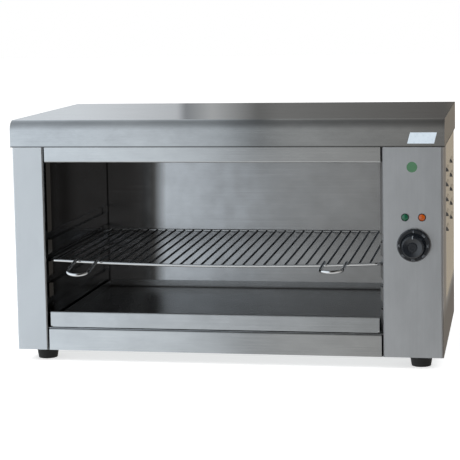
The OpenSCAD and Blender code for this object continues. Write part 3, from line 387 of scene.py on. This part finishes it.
# blank slanted label on the cover's front
label = {"width": 0.036, "height": 0.015, "slant": 0.0039, "thick": 0.0002,
         "x": 0.2747, "z": 0.3204}
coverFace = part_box("top_cover")[0].y
freshStart()
bpy.ops.mesh.primitive_plane_add(size=1, location=(label["x"], coverFace, label["z"]),
                                 rotation=(math.radians(90), 0, 0))
plate = bpy.context.object
plate.scale = (label["width"], label["height"], 1)
bpy.ops.object.transform_apply(location=True, rotation=True, scale=True)
pick(plate, lambda corner: corner.z > label["z"])
bpy.ops.transform.translate(value=(label["slant"], 0, 0))
bpy.ops.mesh.select_all(action="SELECT")
bpy.ops.transform.translate(value=(-label["slant"] / 2, 0, 0))
bpy.ops.mesh.extrude_region_move(TRANSFORM_OT_translate={"value": (0, -label["thick"], 0)})
bpy.ops.mesh.select_all(action="SELECT")
bpy.ops.mesh.normals_make_consistent(inside=False)
bpy.ops.object.mode_set(mode="OBJECT")
settle(plate, "blankLabel", paleVinyl, "casing")
print("stickers made")

# numbers, start line and pointer on the dial
dial = {"x": 0.2625, "z": 0.174, "skirtOut": 0.008, "numberRadius": 0.0193, "numberSize": 0.0036,
        "first": 50, "step": 50, "count": 6, "firstTurn": 90, "stepTurn": 45,
        "lineWidth": 0.0009, "lineLength": 0.003, "ink": 0.00006, "curveSteps": 3,
        "pointerWidth": 0.0014,
        "pointerPath": [(0.0116, 0.02474), (0.013, 0.025), (0.015, 0.023), (0.0153, 0.019)]}
skirtFace = panelFace - dial["skirtOut"]
marks = []
for k in range(dial["count"]):
    turn = -math.radians(dial["firstTurn"] + k * dial["stepTurn"])   # numbers run anticlockwise
    freshStart()
    bpy.ops.object.text_add(location=(dial["x"] + dial["numberRadius"] * math.sin(turn), skirtFace,
                                      dial["z"] + dial["numberRadius"] * math.cos(turn)),
                            rotation=(math.radians(90), turn, 0))
    number = bpy.context.object
    number.data.body = str(dial["first"] + k * dial["step"])
    number.data.size = dial["numberSize"]
    number.data.align_x = "CENTER"
    number.data.align_y = "CENTER"
    number.data.extrude = dial["ink"]
    number.data.resolution_u = dial["curveSteps"]
    bpy.ops.object.convert(target="MESH")
    bpy.ops.object.transform_apply(location=True, rotation=True, scale=True)
    marks.append(number)
freshStart()
bpy.ops.mesh.primitive_cube_add(size=1,
                                location=(dial["x"], skirtFace, dial["z"] + dial["numberRadius"]),
                                scale=(dial["lineWidth"], 2 * dial["ink"], dial["lineLength"]))
bpy.ops.object.transform_apply(location=True, rotation=True, scale=True)
marks.append(bpy.context.object)
# pointer: a strip laid over the grip's front edge
path = [Vector((dial["x"], panelFace - out, dial["z"] + radius))
        for radius, out in dial["pointerPath"]]
freshStart()
bpy.ops.mesh.primitive_plane_add(size=1, location=(0, 0, 0))
pointer = bpy.context.object
for corner in pointer.data.vertices:
    start = path[1] if corner.co.y > 0 else path[0]
    corner.co = start + Vector((dial["pointerWidth"] * corner.co.x, 0, 0))
pick(pointer, lambda corner: (corner - path[1]).length < dial["pointerWidth"])
bpy.ops.mesh.select_mode(type="EDGE")
for here, there in zip(path[1:], path[2:]):
    bpy.ops.mesh.extrude_edges_move(TRANSFORM_OT_translate={"value": there - here})
bpy.ops.mesh.select_mode(type="VERT")
bpy.ops.object.mode_set(mode="OBJECT")
ink = pointer.modifiers.new("ink", "SOLIDIFY")
ink.thickness = 2 * dial["ink"]
ink.offset = 0
bpy.ops.object.modifier_apply(modifier="ink")
marks.append(pointer)
freshStart()
for mark in marks:
    mark.select_set(True)
bpy.context.view_layer.objects.active = marks[0]
bpy.ops.object.join()
settle(bpy.context.object, "dialMarks", greyPrint, "dial")
print("dial marked")

# white surroundings to the eye, and a room for reflections: window light on the left,
# dark on the right
room = {"leftmost": -0.375, "rightmost": -0.011, "zenith": 0.43, "rearLow": 0.1, "rearHigh": 0.35,
        "frontLevel": 1.34, "rearLevel": 1.1, "softLevel": 0.6, "seenLevel": 1.0,
        "front": [(0.0, "#eff7fe"), (0.2, "#e3ecf3"), (0.35, "#dce3e8"), (0.5, "#c0c6ca"),
                  (0.572, "#6e7071"), (0.61, "#a2a3a2"), (0.9, "#7c7a76"), (0.97, "#3c3a38")],
        "rear": [(0.26, "#e6eaee"), (0.43, "#c6c8cb"), (0.445, "#6c6d6f"), (0.49, "#b0b0af"),
                 (0.57, "#686765"), (0.9, "#545250"), (1.0, "#b9ac98")],
        "farRight": {"axis": "X", "from": 0.45, "to": 0.7, "colour": "#858380"},
        "ground": {"axis": "Z", "from": -0.25, "to": -0.5, "colour": "#c2c2c0"}}
world = bpy.data.worlds.new("white studio")
scene.world = world
world.use_nodes = True
sky = world.node_tree
place = addNode(sky, "ShaderNodeTexCoord")
axes = addNode(sky, "ShaderNodeSeparateXYZ", {}, {0: place.outputs["Generated"]})
share = addNode(sky, "ShaderNodeMapRange", {"From Min": room["leftmost"], "From Max": room["rightmost"]},
                {"Value": axes.outputs["X"]})
shades = []
for side in ("front", "rear"):
    shade = addNode(sky, "ShaderNodeValToRGB", {}, {0: share.outputs[0]})
    while len(shade.color_ramp.elements) < len(room[side]):
        shade.color_ramp.elements.new(0.5)
    for element, (position, colour) in zip(shade.color_ramp.elements, room[side]):
        element.position = position
        element.color = linear(colour)
    shades.append(shade.outputs[0])
behind = addNode(sky, "ShaderNodeMath", {1: 0}, {0: axes.outputs["Y"]}, operation="GREATER_THAN")
low = addNode(sky, "ShaderNodeMapRange", {"From Min": room["rearLow"], "From Max": room["rearHigh"],
                                          "To Min": 1.0, "To Max": 0.0}, {"Value": axes.outputs["Z"]})
rear = addNode(sky, "ShaderNodeMath", {}, {0: behind.outputs[0], 1: low.outputs[0]},
               operation="MULTIPLY")
walls = addNode(sky, "ShaderNodeMix", {}, {0: rear.outputs[0], 6: shades[0], 7: shades[1]},
                data_type="RGBA")
for zone in (room["farRight"], room["ground"]):
    reach = addNode(sky, "ShaderNodeMapRange", {"From Min": zone["from"], "From Max": zone["to"]},
                    {"Value": axes.outputs[zone["axis"]]})
    walls = addNode(sky, "ShaderNodeMix", {7: linear(zone["colour"])},
                    {0: reach.outputs[0], 6: walls.outputs[2]}, data_type="RGBA")
dim = addNode(sky, "ShaderNodeMapRange", {"To Min": room["frontLevel"],
                                          "To Max": room["frontLevel"] * room["zenith"]},
              {"Value": axes.outputs["Z"]})
glow = addNode(sky, "ShaderNodeMix", {3: room["rearLevel"]}, {0: rear.outputs[0], 2: dim.outputs[0]})
mirrored = addNode(sky, "ShaderNodeBackground", {}, {"Color": walls.outputs[2],
                                                     "Strength": glow.outputs[0]})
rays = addNode(sky, "ShaderNodeLightPath")
level = addNode(sky, "ShaderNodeMapRange", {"To Min": room["softLevel"], "To Max": room["seenLevel"]},
                {"Value": rays.outputs["Is Camera Ray"]})
white = sky.nodes["Background"]
white.inputs["Color"].default_value = (1, 1, 1, 1)
sky.links.new(level.outputs[0], white.inputs["Strength"])
both = addNode(sky, "ShaderNodeMixShader", {}, {0: rays.outputs["Is Glossy Ray"], 1: white.outputs[0],
                                                2: mirrored.outputs[0]})
sky.links.new(both.outputs[0], sky.nodes["World Output"].inputs["Surface"])

# white floor, just under the feet, bright to the eye and left out of reflections
ground = {"side": 30, "height": -0.0003, "lift": 0.6}
paint, tree, shader = newMaterial("floor paint white matt", Roughness=0.9, Base_Color=linear("#f3f3f3"))
rays = addNode(tree, "ShaderNodeLightPath")
lift = addNode(tree, "ShaderNodeMath", {1: ground["lift"]}, {0: rays.outputs["Is Camera Ray"]},
               operation="MULTIPLY")
shader.inputs["Emission Color"].default_value = (1, 1, 1, 1)
tree.links.new(lift.outputs[0], shader.inputs["Emission Strength"])
freshStart()
bpy.ops.mesh.primitive_plane_add(size=ground["side"], location=(0, 0, ground["height"]))
floor = bpy.context.object
floor.name = "studioFloor"
floor.data.materials.append(paint)
floor.visible_glossy = False
floor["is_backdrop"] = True

# two soft lamps, for the shadow and the dark pieces
lamps = {"key": {"at": (-1.5, -1.7, 2.0), "size": 1.5, "watts": 42},
         "fill": {"at": (1.7, -1.4, 1.6), "size": 1.2, "watts": 14}}
lampAim = Vector((0, 0, 0.15))
for name, lamp in lamps.items():
    light = bpy.data.lights.new(name + "Lamp", "AREA")
    light.size = lamp["size"]
    light.energy = lamp["watts"]
    lampObject = bpy.data.objects.new(name + "Lamp", light)
    lampObject.location = lamp["at"]
    lampObject.visible_glossy = False
    lampObject.rotation_euler = (lampAim - lampObject.location).to_track_quat("-Z", "Y").to_euler()
    scene.collection.objects.link(lampObject)
print("studio lit")

view = {"at": (0.4038, -2.2329, 0.4913), "turn": (84.1128, 0.9142, 9.7621), "lens": 120.53,
        "sensor": 36, "shift": (-0.05, -0.126)}
eye = bpy.data.cameras.new("productCamera")
eye.lens = view["lens"]
eye.sensor_width = view["sensor"]
eye.shift_x, eye.shift_y = view["shift"]
camera = bpy.data.objects.new("productCamera", eye)
camera.location = view["at"]
camera.rotation_euler = [math.radians(a) for a in view["turn"]]
scene.collection.objects.link(camera)
scene.camera = camera
print("camera set")

low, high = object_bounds()
